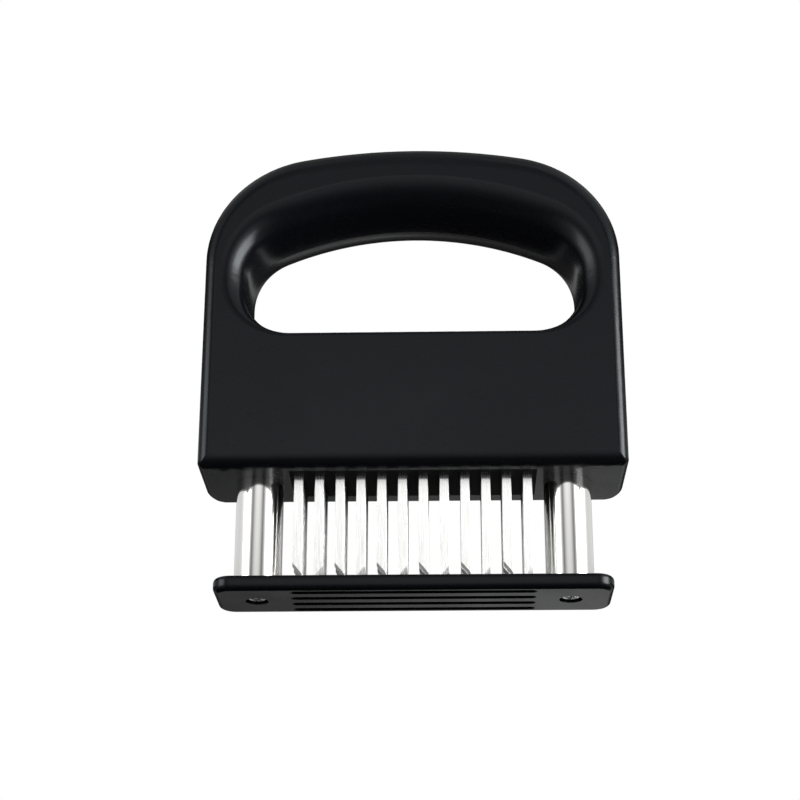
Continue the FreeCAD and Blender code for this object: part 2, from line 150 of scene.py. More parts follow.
class Graph:
    """Short hand for wiring one node tree."""

    def __init__(self, tree: bpy.types.NodeTree) -> None:
        """Start on a shader or geometry node tree."""
        self.tree = tree

    def feed(self, node: bpy.types.Node, inputs: Inputs) -> None:
        """Link a node's inputs, or set their own values.

        Args:
            node: The node to feed.
            inputs: Other nodes' outputs or plain values, by the name or number of the input.
        """
        for key, source in inputs.items():
            if isinstance(source, Socket):
                self.tree.links.new(source, node.inputs[key])
            else:
                node.inputs[key].default_value = source

    def node(self, kind: str, inputs: Inputs, **settings: object) -> bpy.types.Node:
        """Add a node.

        Args:
            kind: Blender's name of the node type.
            inputs: Sources by the name or number of the input.
            **settings: The node's own properties.

        Returns:
            The new node.
        """
        made = self.tree.nodes.new(kind)
        for name, value in settings.items():
            setattr(made, name, value)
        self.feed(made, inputs)
        return made

    def math(self, operation: str, *values: Source) -> Socket:
        """Output of a Math node that works on the given values."""
        return self.node("ShaderNodeMath", dict(enumerate(values)), operation=operation).outputs[0]

    def vector(self, x: Source = 0.0, y: Source = 0.0, z: Source = 0.0) -> Socket:
        """Vector put together from its three parts."""
        return self.node("ShaderNodeCombineXYZ", {0: x, 1: y, 2: z}).outputs[0]

    def local(self) -> Socket:
        """Coordinates in the piece's own frame."""
        return self.node("ShaderNodeTexCoord", {}).outputs["Object"]

    def span(self, value: Source, span: Span) -> Socket:
        """Change one range into another.

        Args:
            value: What is mapped.
            span: Both ranges.

        Returns:
            The mapped value.
        """
        kind = "SMOOTHSTEP" if span.smooth else "LINEAR"
        return self.node("ShaderNodeMapRange", {
            "Value": value, "From Min": span.low, "From Max": span.high,
            "To Min": span.start, "To Max": span.end,
        }, interpolation_type=kind).outputs["Result"]

    def noise(self, place: Source, grain: Grain) -> Socket:
        """Grey noise around 0.5.

        Args:
            place: Coordinates.
            grain: Size and make of the noise.

        Returns:
            The noise value.
        """
        if grain.stretch:
            mapping = self.node("ShaderNodeMapping", {"Vector": place, "Scale": grain.stretch})
            place = mapping.outputs["Vector"]
        return self.node("ShaderNodeTexNoise", {
            "Vector": place, "Scale": grain.waves, "Detail": grain.detail, "Distortion": grain.warp
        }).outputs["Fac"]

    def mix(self, factor: Source, low: Source, high: Source) -> Socket:
        """Value between two values."""
        return self.node("ShaderNodeMix", {0: factor, 2: low, 3: high}).outputs[0]

    def blend(self, factor: Source, low: Source, high: Source) -> Socket:
        """Colour between two colours, each a socket or red, green, blue and alpha."""
        return self.node("ShaderNodeMix", {0: factor, 6: low, 7: high}, data_type="RGBA").outputs[2]

    def tint(self, factor: Source, colour: Colour, swing: tuple[float, float]) -> Socket:
        """Colour that runs from darker to lighter.

        Args:
            factor: What it follows, from 0 to 1.
            colour: The plain colour.
            swing: Its multiples at a factor of zero and of one.

        Returns:
            The changing colour.
        """
        low, high = swing
        return self.blend(factor, opaque(colour, low), opaque(colour, high))

    def bump(self, height: Source, strength: float, distance: float) -> Socket:
        """Normal roughened by a height.

        Args:
            height: Height from 0 to 1.
            strength: How much of the change is used.
            distance: Real height of a value of one.

        Returns:
            The new normal.
        """
        inputs = {"Height": height, "Strength": strength, "Distance": distance}
        return self.node("ShaderNodeBump", inputs).outputs["Normal"]

    def ramp(self, factor: Source, reach: float, stops: Pairs) -> Socket:
        """Grey level read from a row of stops.

        Args:
            factor: Position from 0 to 1.
            reach: Angle at the upper end of the row; the lower end is as far below zero.
            stops: Angle and level of each stop, in order.

        Returns:
            The level.
        """
        node = self.node("ShaderNodeValToRGB", {"Fac": factor})
        row = node.color_ramp.elements
        row.remove(row[-1])
        for index, (angle, level) in enumerate(stops):
            place = (angle + reach) / (2.0 * reach)
            stop = row[0] if index == 0 else row.new(place)
            stop.position = place
            stop.color = (level, level, level, 1.0)
        return node.outputs["Color"]


def shader_graph(name: str) -> tuple[bpy.types.Material, Graph, bpy.types.Node]:
    """New material with its tree.

    Args:
        name: Name of the material.

    Returns:
        The material, its graph and its Principled shader.
    """
    material = bpy.data.materials.new(name)
    material.use_nodes = True
    shader = material.node_tree.nodes["Principled BSDF"]
    return material, Graph(material.node_tree), shader


# ---------------------------------------------------------------- finishes
@dataclass(frozen=True)
class MouldedPlastic:
    """Moulded plastic with a spark-eroded grain, faint flow marks and rubbed patches."""

    name: str
    colour: Colour
    roughness: float
    specular: float
    specular_tint: Colour = (0.9, 0.95, 1.0)
    colour_swing: tuple[float, float] = (0.88, 1.12)
    flow: Grain = Grain(70.0, 3.0, 0.4)
    rub: Grain = Grain(26.0, 6.0, 0.8)
    rub_span: Span = Span(0.35, 0.7, -0.03, 0.04)
    grain: Grain = Grain(2600.0)
    scratch: Grain = Grain(grain.waves / 6.0, 1.0, stretch=(1.0, 9.0, 3.0))
    scratch_span: Span = Span(0.62, 0.72, 0.0, 0.05)
    grain_strength: float = 0.35
    grain_height: float = 0.000004
    flow_height: float = 0.4

    def material(self) -> bpy.types.Material:
        """Make the node material of this plastic.

        Returns:
            The material.
        """
        material, graph, shader = shader_graph(self.name)
        place = graph.local()
        flow, grain = graph.noise(place, self.flow), graph.noise(place, self.grain)
        rubbed = graph.span(graph.noise(place, self.rub), self.rub_span)
        scratched = graph.span(graph.noise(place, self.scratch), self.scratch_span)
        worn = graph.math("ADD", rubbed, scratched)
        height = graph.math("MULTIPLY_ADD", flow, self.flow_height, grain)
        graph.feed(shader, {
            "Base Color": graph.tint(flow, self.colour, self.colour_swing),
            "Roughness": graph.math("ADD", worn, self.roughness),
            "Normal": graph.bump(height, self.grain_strength, self.grain_height),
            "Specular IOR Level": self.specular,
            "Specular Tint": opaque(self.specular_tint),
        })
        return material


@dataclass(frozen=True)
class DrawnMetal:
    """Bare metal with fine lines left by drawing, rolling or polishing."""

    name: str
    colour: Colour
    roughness: float
    line_depth: float
    line_waves: Place
    line_roughness: float = 0.06
    line_detail: float = 3.0
    line_strength: float = 0.5
    colour_swing: tuple[float, float] = (0.96, 1.03)
    smudge: Grain = Grain(45.0, 5.0, 0.5)
    smudge_span: Span = Span(0.4, 0.7, 0.0, 0.04)

    def material(self) -> bpy.types.Material:
        """Make the node material of this metal.

        Returns:
            The material.
        """
        material, graph, shader = shader_graph(self.name)
        place = graph.local()
        lines = graph.noise(place, Grain(1.0, self.line_detail, stretch=self.line_waves))
        smudge = graph.noise(place, self.smudge)
        line_span = Span(*NOISE_REACH, -self.line_roughness, self.line_roughness)
        worn = graph.math(
            "ADD", graph.span(lines, line_span), graph.span(smudge, self.smudge_span)
        )
        graph.feed(shader, {
            "Base Color": graph.tint(smudge, self.colour, self.colour_swing),
            "Roughness": graph.math("ADD", worn, self.roughness),
            "Normal": graph.bump(lines, self.line_strength, self.line_depth),
            "Metallic": 1.0,
        })
        return material


@dataclass(frozen=True)
class BladeSteel:
    """Rolled stainless strip with ground tips and sheared sides, the sides coloured dark as painted
    shade between the blades.
    """

    name: str
    colour: Colour
    roughness: float
    ground_roughness: float
    anisotropy: float
    colour_swing: tuple[float, float] = (0.95, 1.02)
    # Painted shade: the dark colour of the sheared sides stands for the shade between the blades.
    side_shade_colour: Colour = (0.16, 0.155, 0.15)
    ground_mask: str = "ground"
    side_shade_mask: str = "sheared"
    rolled: Grain = Grain(1.0, 3.0, stretch=(5200.0, 5200.0, 120.0))
    ground: Grain = Grain(1.0, stretch=(900.0, 900.0, 9000.0))
    cloud: Grain = Grain(160.0, 4.0, 0.4)
    line_span: Span = Span(*NOISE_REACH, -0.04, 0.05)
    line_strength: float = 0.4
    line_depth: float = 0.000001
    rolled_along: Place = (0.03, 0.02, 1.0)

    def material(self) -> bpy.types.Material:
        """Make the node material; two mask attributes of the mesh tell its faces apart.

        Returns:
            The material.
        """
        material, graph, shader = shader_graph(self.name)
        place = graph.local()
        is_ground, is_shaded_side = (
            graph.node("ShaderNodeAttribute", {}, attribute_name=name).outputs["Fac"]
            for name in (self.ground_mask, self.side_shade_mask)
        )
        rolled, ground = graph.noise(place, self.rolled), graph.noise(place, self.ground)
        lines = graph.mix(is_ground, rolled, ground)
        colour = graph.tint(graph.noise(place, self.cloud), self.colour, self.colour_swing)
        base = graph.span(is_ground, Span(0.0, 1.0, self.roughness, self.ground_roughness))
        along = graph.node("ShaderNodeVectorTransform", {
            "Vector": self.rolled_along
        }, vector_type="VECTOR", convert_from="OBJECT", convert_to="WORLD").outputs[0]
        facing = graph.node("ShaderNodeNewGeometry", {}).outputs["Normal"]
        across = graph.node(
            "ShaderNodeVectorMath", {0: facing, 1: along}, operation="CROSS_PRODUCT"
        )
        graph.feed(shader, {
            # The sheared sides get a dark base colour: painted shade between the blades.
            "Base Color": graph.blend(is_shaded_side, colour, opaque(self.side_shade_colour)),
            "Roughness": graph.math("ADD", base, graph.span(lines, self.line_span)),
            "Normal": graph.bump(lines, self.line_strength, self.line_depth),
            "Tangent": across.outputs["Vector"],
            "Anisotropic": self.anisotropy,
            "Metallic": 1.0,
        })
        return material


CASE_PLASTIC = MouldedPlastic(
    "satin_case_plastic", (0.0026, 0.0029, 0.0042), roughness=0.24, specular=0.29
)
GUARD_PLASTIC = MouldedPlastic(
    "satin_guard_plastic", (0.0026, 0.0029, 0.0038), roughness=0.24, specular=0.29
)
HOLDER_PLASTIC = MouldedPlastic(
    "matt_holder_plastic", (0.0026, 0.0027, 0.0030), roughness=0.55, specular=0.06
)
BUSH_PLASTIC = MouldedPlastic(
    "black_acetal", (0.0027, 0.003, 0.004), roughness=0.25, specular=0.28
)
STRIP_STEEL = BladeSteel(
    "rolled_strip_steel", (0.86, 0.86, 0.85),
    roughness=0.25, ground_roughness=0.94, anisotropy=1.0,
)
POST_STEEL = DrawnMetal(
    "polished_post_steel", (0.86, 0.855, 0.84), roughness=0.1, line_depth=0.0000006,
    line_waves=(700.0, 700.0, 5200.0), line_roughness=0.012,
)
WIRE_STEEL = DrawnMetal(
    "drawn_spring_wire", (0.56, 0.56, 0.57), roughness=0.3, line_depth=0.000002,
    line_waves=(2400.0, 2400.0, 2400.0),
)
ZINC_STEEL = DrawnMetal(
    "bright_zinc_steel", (0.84, 0.84, 0.85), roughness=0.2, line_depth=0.000002,
    line_waves=(1500.0, 1500.0, 1500.0),
)
PLUG_STEEL = DrawnMetal(
    "turned_plug_steel", (0.6, 0.6, 0.61), roughness=0.28, line_depth=0.000003,
    line_waves=(900.0, 900.0, 4200.0),
)


# ---------------------------------------------------------------- meshes
def add_object(name: str, data: bpy.types.ID) -> bpy.types.Object:
    """Put new data in the scene.

    Args:
        name: Name of the object.
        data: Its mesh, lamp or camera.

    Returns:
        The new object at the origin.
    """
    made = bpy.data.objects.new(name, data)
    bpy.context.scene.collection.objects.link(made)
    return made


def plain_object(name: str, shape: bmesh.types.BMesh) -> bpy.types.Object:
    """Turn a bmesh into an object just as it is.

    Args:
        name: Name of the object and its mesh.
        shape: The geometry; it is freed here.

    Returns:
        The new object at the origin.
    """
    mesh = bpy.data.meshes.new(name)
    shape.to_mesh(mesh)
    shape.free()
    return add_object(name, mesh)


def smooth_object(name: str, shape: bmesh.types.BMesh,
                  sharp_degrees: float = 35.0) -> bpy.types.Object:
    """Turn a bmesh into an object with its faces outward and shaded smooth.

    Args:
        name: Name of the object and its mesh.
        shape: The geometry; it is freed here.
        sharp_degrees: Edges that bend by more than this stay sharp.

    Returns:
        The new object at the origin.
    """
    bmesh.ops.remove_doubles(shape, verts=shape.verts, dist=MERGE_DISTANCE)
    bmesh.ops.recalc_face_normals(shape, faces=shape.faces)
    made = plain_object(name, shape)
    smooth_by_angle(made.data, sharp_degrees)
    return made


def points_object(name: str, places: Iterable[Place]) -> bpy.types.Object:
    """Object with a loose point at each place.

    Args:
        name: Name of the object and its mesh.
        places: Where the points are.

    Returns:
        The new object at the origin.
    """
    shape = bmesh.new()
    for place in places:
        shape.verts.new(place)
    return plain_object(name, shape)


def smooth_by_angle(mesh: bpy.types.Mesh, sharp_degrees: float) -> None:
    """Shade a mesh smooth except across its sharp edges.

    Args:
        mesh: The mesh.
        sharp_degrees: Edges that bend by more than this stay sharp.
    """
    mesh.shade_smooth()
    mesh.set_sharp_from_angle(angle=math.radians(sharp_degrees))


def bridge(shape: bmesh.types.BMesh, low: Sequence[bmesh.types.BMVert],
           high: Sequence[bmesh.types.BMVert]) -> list[bmesh.types.BMFace]:
    """Join two rings of points by faces.

    Args:
        shape: Where the faces are added.
        low: One ring; a pole is a ring of the same point.
        high: The other ring, with as many points.

    Returns:
        The new faces, in order round the rings.
    """
    faces = []
    for step, start in enumerate(low):
        following = (step + 1) % len(low)
        corners = (start, low[following], high[following], high[step])
        faces.append(shape.faces.new(list(dict.fromkeys(corners))))
    return faces


def lathe(profile: Pairs, steps: int, closed: bool, centre_x: float = 0.0) -> bmesh.types.BMesh:
    """Turn a profile about an upright axis.

    Args:
        profile: Radius and height of each point; a radius of zero closes an end.
        steps: Number of steps round the axis.
        closed: Whether the last point joins the first.
        centre_x: Place of the axis along X.

    Returns:
        The turned shape.
    """
    shape = bmesh.new()
    turns = [2.0 * math.pi * step / steps for step in range(steps)]
    rings = []
    for radius, height in profile:
        if radius == 0.0:
            rings.append([shape.verts.new((centre_x, 0.0, height))] * steps)
            continue
        rings.append([
            shape.verts.new((centre_x + radius * math.cos(turn), radius * math.sin(turn), height))
            for turn in turns
        ])
    if closed:
        rings.append(rings[0])
    for low, high in zip(rings, rings[1:]):
        bridge(shape, low, high)
    return shape


def settle(piece: bpy.types.Object) -> None:
    """Replace a piece's mesh by what its modifiers make of it, and drop them.

    Args:
        piece: Object with modifiers.
    """
    bpy.context.view_layer.update()
    graph = bpy.context.evaluated_depsgraph_get()
    made = bpy.data.meshes.new_from_object(piece.evaluated_get(graph))
    piece.modifiers.clear()
    piece.data = made


def geometry_tree(name: str, inputs: Inputs) -> tuple[Graph, bpy.types.Node]:
    """New geometry node tree.

    Args:
        name: Name of the tree.
        inputs: Values by the name of each input after the geometry.

    Returns:
        The graph and its group input node.
    """
    tree = bpy.data.node_groups.new(name, "GeometryNodeTree")
    for way in ("OUTPUT", "INPUT"):
        tree.interface.new_socket("Geometry", in_out=way, socket_type="NodeSocketGeometry")
    for label, value in inputs.items():
        kind = next(kind for sort, kind in SOCKET_KINDS.items() if isinstance(value, sort))
        socket = tree.interface.new_socket(label, in_out="INPUT", socket_type=kind)
        if isinstance(value, (int, float)):
            socket.default_value = value
    graph = Graph(tree)
    return graph, graph.node("NodeGroupInput", {})


def finish_tree(graph: Graph, geometry: Socket, material: Source) -> bpy.types.NodeTree:
    """End a geometry tree in realised instances with a material.

    Args:
        graph: The tree's graph.
        geometry: What it has made.
        material: The material input.

    Returns:
        The finished tree.
    """
    real = graph.node("GeometryNodeRealizeInstances", {"Geometry": geometry}).outputs["Geometry"]
    dressed = graph.node("GeometryNodeSetMaterial", {"Geometry": real, "Material": material})
    graph.node("NodeGroupOutput", {"Geometry": dressed.outputs["Geometry"]})
    return graph.tree


def grow(piece: bpy.types.Object, tree: bpy.types.NodeTree, inputs: Inputs) -> None:
    """Run a geometry node tree on a piece.

    Args:
        piece: Object that carries the tree.
        tree: The geometry node tree.
        inputs: Values by the name of the tree's input.
    """
    modifier = piece.modifiers.new(tree.name, "NODES")
    modifier.node_group = tree
    for item in tree.interface.items_tree:
        if item.in_out == "INPUT" and item.name in inputs:
            modifier[item.identifier] = inputs[item.name]
    settle(piece)


def dress(names: Iterable[str], material: bpy.types.Material) -> None:
    """Give CAD nodes a material.

    Args:
        names: Names of the nodes.
        material: Their new material.
    """
    for name in names:
        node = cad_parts[name]
        node.data.materials.clear()
        node.data.materials.append(material)
        log.info("dressed %s in %s", name, material.name)


def place_piece(piece: bpy.types.Object, body: Body, nodes: Sequence[str]) -> None:
    """Tie a new piece to the frame.

    Args:
        piece: The finished object.
        body: Body that it moves with.
        nodes: CAD nodes that it stands for.
    """
    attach(piece, body.value)
    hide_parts(*nodes)
    piece.data.calc_loop_triangles()
    log.info("built %s: %d triangles", piece.name, len(piece.data.loop_triangles))


# ---------------------------------------------------------------- handle casing
@dataclass
class Casing:
    """Two moulded halves of the handle, with the bushes, pegs and blade holder inside."""

    shells: tuple[str, ...] = ("front_shell", "rear_shell")
    inserts: tuple[str, ...] = ("left_bush", "right_bush", "left_spring_peg", "right_spring_peg")
    holder: tuple[str, ...] = ("blade_holder", "holder_cap")

    def build(self) -> None:
        """Dress the casing and what is moulded inside it."""
        dress(self.shells, CASE_PLASTIC.material())
        dress(self.holder, HOLDER_PLASTIC.material())
        dress(self.inserts, BUSH_PLASTIC.material())


# ---------------------------------------------------------------- blades
def mark_faces(mesh: bpy.types.Mesh, kind: BladeFace, mask: str) -> None:
    """Write a mask of one kind of face.

    Args:
        mesh: Mesh whose material indices tell the kinds apart.
        kind: The kind of face that gets a value of one.
        mask: Name of the new attribute.
    """
    values = mesh.attributes.new(mask, "FLOAT", "FACE").data
    for polygon in mesh.polygons:
        values[polygon.index].value = float(polygon.material_index == kind)


@dataclass
class BladeSet:
    """Rows of strip blades; every other blade is turned half round."""

    columns: int = 12
    rows: int = 4
    pitch: float = 0.005234
    row_pitch: float = 0.00494
    width: float = 0.00233
    thickness: float = 0.0006
    edge: float = 0.00009
    tip_z: float = 0.00396
    slant: float = 0.0028
    shoulder_z: float = 0.04174
    head_z: float = 0.04374
    head_width: float = 0.0034
    grind: float = 0.0010
    land: float = 0.00008
    sharp_degrees: float = 25.0
    ground_sides: tuple[int, ...] = (0, 1, 7)
    sheared_sides: tuple[int, ...] = (2, 6)

    def section(self, half: float, height: float, front: float) -> list[Vector]:
        """Corners of the strip's cut at one height, with eased edges.

        Args:
            half: Half of the width.
            height: Height of the cut.
            front: Where the front face lies along Y.

        Returns:
            Eight corners, in order round the strip.
        """
        back = self.thickness / 2.0
        ease = min(self.edge, (back - front) / 3.0)
        outline = [
            (-half + ease, front), (half - ease, front), (half, front + ease), (half, back - ease),
            (half - ease, back), (-half + ease, back), (-half, back - ease), (-half, front + ease),
        ]
        return [Vector((x, y, height)) for x, y in outline]

    def sloped(self, section: list[Vector]) -> list[Vector]:
        """A section tilted by the tip's slant, so that it is lowest on the right."""
        half = self.width / 2.0
        return [Vector((p.x, p.y, p.z + self.slant * (half - p.x) / self.width)) for p in section]

    def prototype(self) -> bpy.types.Object:
        """Make one blade at the middle of the grid.

        Returns:
            The blade, with mask attributes on its ground and its sheared faces.
        """
        shape = bmesh.new()
        half, head_half = self.width / 2.0, self.head_width / 2.0
        front = -self.thickness / 2.0
        back_land = self.thickness / 2.0 - self.land
        sections = [
            self.sloped(self.section(half, self.tip_z, back_land)),
            self.sloped(self.section(half, self.tip_z + self.grind, front)),
            self.section(half, self.shoulder_z, front),
            self.section(head_half, self.shoulder_z, front),
            self.section(head_half, self.head_z, front),
        ]
        rings = [[shape.verts.new(corner) for corner in section] for section in sections]
        for level, (low, high) in enumerate(zip(rings, rings[1:])):
            for side, face in enumerate(bridge(shape, low, high)):
                if level == 0 and side in self.ground_sides:
                    face.material_index = BladeFace.GROUND
                elif side in self.sheared_sides:
                    face.material_index = BladeFace.SHEARED
        shape.faces.new(rings[0]).material_index = BladeFace.GROUND
        shape.faces.new(rings[-1])
        blade = smooth_object("blade", shape, self.sharp_degrees)
        mark_faces(blade.data, BladeFace.GROUND, STRIP_STEEL.ground_mask)
        # The sheared sides are marked so the steel paints them dark, as shade between the blades.
        mark_faces(blade.data, BladeFace.SHEARED, STRIP_STEEL.side_shade_mask)
        for polygon in blade.data.polygons:
            polygon.material_index = BladeFace.ROLLED
        return blade

    def tree(self, inputs: Inputs) -> bpy.types.NodeTree:
        """Make the geometry tree that sets a blade on each point of the grid.

        Args:
            inputs: Values by the name of each input.

        Returns:
            The tree.
        """
        graph, given = geometry_tree("blade_grid", inputs)
        index = graph.node("GeometryNodeInputIndex", {}).outputs[0]
        count, lines = given.outputs["Columns"], given.outputs["Rows"]
        column = graph.math("MODULO", index, count)
        row = graph.math("FLOOR", graph.math("DIVIDE", index, count))

        def spread(number: Source, total: Source, pitch: Source) -> Socket:
            """Place of one of several evenly spaced lines about zero."""
            middle = graph.math("DIVIDE", graph.math("SUBTRACT", total, 1.0), 2.0)
            return graph.math("MULTIPLY", graph.math("SUBTRACT", number, middle), pitch)

        place = graph.vector(
            spread(column, count, given.outputs["Pitch"]),
            spread(row, lines, given.outputs["Row Pitch"]),
        )
        half_turn = graph.math("MULTIPLY", graph.math("MODULO", column, 2.0), math.pi)
        total = graph.math("MULTIPLY", count, lines)
        points = graph.node("GeometryNodePoints", {"Count": total, "Position": place})
        blade = graph.node("GeometryNodeObjectInfo", {"Object": given.outputs["Blade"]})
        grid = graph.node("GeometryNodeInstanceOnPoints", {
            "Points": points.outputs[0], "Instance": blade.outputs["Geometry"],
            "Rotation": graph.vector(z=half_turn),
        })
        return finish_tree(graph, grid.outputs[0], given.outputs["Material"])

    def build(self) -> None:
        """Build the 48 blades as one piece."""
        blade = self.prototype()
        piece = points_object("blades", ())
        inputs = {
            "Blade": blade, "Columns": self.columns, "Rows": self.rows, "Pitch": self.pitch,
            "Row Pitch": self.row_pitch, "Material": STRIP_STEEL.material(),
        }
        grow(piece, self.tree(inputs), inputs)
        bpy.data.objects.remove(blade)
        names = [f"blade_row_{number + 1}" for number in range(self.rows)]
        place_piece(piece, Body.HANDLE, names)


# ---------------------------------------------------------------- screws
@dataclass
class ScrewKind:
    """Sizes of one kind of pan-head screw with a cross recess."""

    shank: float
    length: float
    head: float
    head_height: float
    point_ease: float = 0.25
    crown_share: float = 0.5
    crown_steps: int = 6
    crown_flat: float = 0.72
    recess_reach: float = 0.62
    recess_width: float = 0.30
    recess_depth: float = 0.6
    recess_top: float = 1.05
    mouth_scale: float = 1.04
    floor_scale: float = 0.62
    least_width_scale: float = 0.8
    steps: int = 48
    sharp_degrees: float = 30.0

    def profile(self) -> Pairs:
        """Draw half of the screw's cut.

        Returns:
            Radius and height of each point, from the screw's point to the crown of its head.
        """
        top = self.head_height
        crown = top * self.crown_share
        arc = []
        for step in range(self.crown_steps + 1):
            turn = math.radians(QUARTER_TURN * step / self.crown_steps)
            reach = self.head - crown * (1.0 - math.cos(turn))
            arc.append((reach, top - crown + crown * math.sin(turn)))
        ease = self.shank * self.point_ease
        return (
            (0.0, -self.length), (self.shank - ease, -self.length),
            (self.shank, -self.length + ease), (self.shank, 0.0), (self.head - ease / 2.0, 0.0),
            (self.head, ease / 2.0), *arc, (self.head * self.crown_flat, top), (0.0, top),
        )

    def cutter(self) -> bpy.types.Object:
        """Make the tapered cross that is cut out of the head.

        Returns:
            The cross, as two crossed bars.
        """
        shape = bmesh.new()
        reach = self.head * self.recess_reach
        width = reach * self.recess_width
        levels = (
            (self.head_height * self.recess_top, self.mouth_scale),
            (self.head_height * (1.0 - self.recess_depth), self.floor_scale),
        )
        for along_x in (True, False):
            rings = []
            for height, scale in levels:
                x, y = reach * scale, width * max(scale, self.least_width_scale)
                if not along_x:
                    x, y = y, x
                ring = ((-x, -y), (x, -y), (x, y), (-x, y))
                rings.append([shape.verts.new((a, b, height)) for a, b in ring])
            high, low = rings
            shape.faces.new(high)
            shape.faces.new(low[::-1])
            bridge(shape, low, high)
        bmesh.ops.recalc_face_normals(shape, faces=shape.faces)
        return plain_object("recess", shape)

    def prototype(self) -> bpy.types.Object:
        """Make one screw that points down.

        Returns:
            The screw, with its head's bearing face at z = 0.
        """
        shape = lathe(self.profile(), self.steps, closed=False)
        screw = smooth_object("screw", shape, self.sharp_degrees)
        cutter = self.cutter()
        cut = screw.modifiers.new("recess", "BOOLEAN")
        cut.operation = "DIFFERENCE"
        cut.solver = "EXACT"
        cut.use_self = True
        cut.object = cutter
        settle(screw)
        smooth_by_angle(screw.data, self.sharp_degrees)
        bpy.data.objects.remove(cutter)
        return screw


CASE_SCREW = ScrewKind(shank=0.0015, length=0.014, head=0.0028, head_height=0.0019)
CAP_SCREW = ScrewKind(shank=0.0012, length=0.009, head=0.0023, head_height=0.0013)
PLATE_SCREW = ScrewKind(shank=0.0015, length=0.008, head=0.0026, head_height=0.0014)


@dataclass
class ScrewGroup:
    """Screws of one kind that are driven the same way into one body."""

    name: str
    kind: ScrewKind
    drive: Drive
    body: Body
    nodes: tuple[str, ...]
    places: tuple[Place, ...]
    seed: int = 3

    def tree(self, inputs: Inputs) -> bpy.types.NodeTree:
        """Make the geometry tree that sets a screw on each point, spun at random.

        Args:
            inputs: Values by the name of each input.

        Returns:
            The tree.
        """
        graph, given = geometry_tree(self.name + "_places", inputs)
        screw = graph.node("GeometryNodeObjectInfo", {"Object": given.outputs["Screw"]})
        spin = graph.node("FunctionNodeRandomValue", {
            2: 0.0, 3: 2.0 * math.pi, "Seed": given.outputs["Seed"]
        }, data_type="FLOAT").outputs[1]
        placed = graph.node("GeometryNodeInstanceOnPoints", {
            "Points": given.outputs["Geometry"], "Instance": screw.outputs["Geometry"],
            "Rotation": given.outputs["Turn"],
        })
        turned = graph.node("GeometryNodeRotateInstances", {
            "Instances": placed.outputs[0], "Rotation": graph.vector(z=spin), "Local Space": True
        })
        return finish_tree(graph, turned.outputs[0], given.outputs["Material"])

    def build(self, material: bpy.types.Material) -> None:
        """Build the group as one piece.

        Args:
            material: Finish of the screws.
        """
        screw = self.kind.prototype()
        piece = points_object(self.name, self.places)
        turn = tuple(math.radians(angle) for angle in self.drive.value)
        inputs = {"Screw": screw, "Turn": turn, "Seed": self.seed, "Material": material}
        grow(piece, self.tree(inputs), inputs)
        bpy.data.objects.remove(screw)
        place_piece(piece, self.body, self.nodes)


@dataclass
class Screws:
    """Every screw of the press."""

    guard_head_z: float = 0.0019
    case_floor_y: float = 0.005
    case_inner_x: float = 0.020936
    holder_top_z: float = 0.04674
    holder_step: float = 0.020936

    def case_places(self) -> tuple[Place, ...]:
        """Read the places of the casing screws off the box of their CAD node.

        Returns:
            Middle of each of the four heads' bearing faces.
        """
        low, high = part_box("case_screws")
        head = CASE_SCREW.head
        inner = self.case_inner_x, low.z + head
        outer = (high.x - low.x) / 2.0 - head, high.z - head
        return tuple(
            (side.value * x, self.case_floor_y, z) for x, z in (inner, outer) for side in Side
        )

    def build(self) -> None:
        """Build the casing, holder and guard screws."""
        steps = (-self.holder_step, 0.0, self.holder_step)
        caps = tuple((x, 0.0, self.holder_top_z) for x in steps)
        posts = tuple((side.value * POST_X, 0.0, self.guard_head_z) for side in Side)
        groups = (
            ScrewGroup("casing_screws", CASE_SCREW, Drive.FORWARD, Body.HANDLE,
                       ("case_screws",), self.case_places()),
            ScrewGroup("cap_screws", CAP_SCREW, Drive.DOWN, Body.HANDLE,
                       ("holder_screws",), caps),
            ScrewGroup("plate_screws", PLATE_SCREW, Drive.UP, Body.GUARD,
                       ("left_guard_screw", "right_guard_screw"), posts),
        )
        zinc = ZINC_STEEL.material()
        for group in groups:
            group.build(zinc)


# ---------------------------------------------------------------- guard
@dataclass
class Guard:
    """Slotted plate on two hollow posts, with their rings and plugs."""

    plate: tuple[str, ...] = ("guard_plate",)
    fittings: tuple[str, ...] = (
        "left_stop_ring", "right_stop_ring", "left_post_plug", "right_post_plug"
    )
    post_radius: float = 0.00603
    bore_radius: float = 0.00523
    base_z: float = 0.00336
    top_z: float = 0.03984
    ease: float = 0.00015
    steps: int = 160

    def profile(self) -> Pairs:
        """Draw the cut through the wall of a post, with eased ends.

        Returns:
            Radius and height of each point, in order round the wall.
        """
        low, high, ease = self.base_z, self.top_z, self.ease
        outer, inner = self.post_radius, self.bore_radius
        return (
            (outer - ease, low), (outer, low + ease), (outer, high - ease), (outer - ease, high),
            (inner + ease, high), (inner, high - ease), (inner, low + ease), (inner + ease, low),
        )

    def build(self) -> None:
        """Build the posts and dress the rest of the guard."""
        steel = POST_STEEL.material()
        for side in Side:
            name = side.name.lower()
            shape = lathe(self.profile(), self.steps, closed=True, centre_x=side.value * POST_X)
            piece = smooth_object(f"{name}_guide_post", shape)
            piece.data.materials.append(steel)
            place_piece(piece, Body.GUARD, (f"{name}_post",))
        dress(self.plate, GUARD_PLASTIC.material())
        dress(self.fittings, PLUG_STEEL.material())


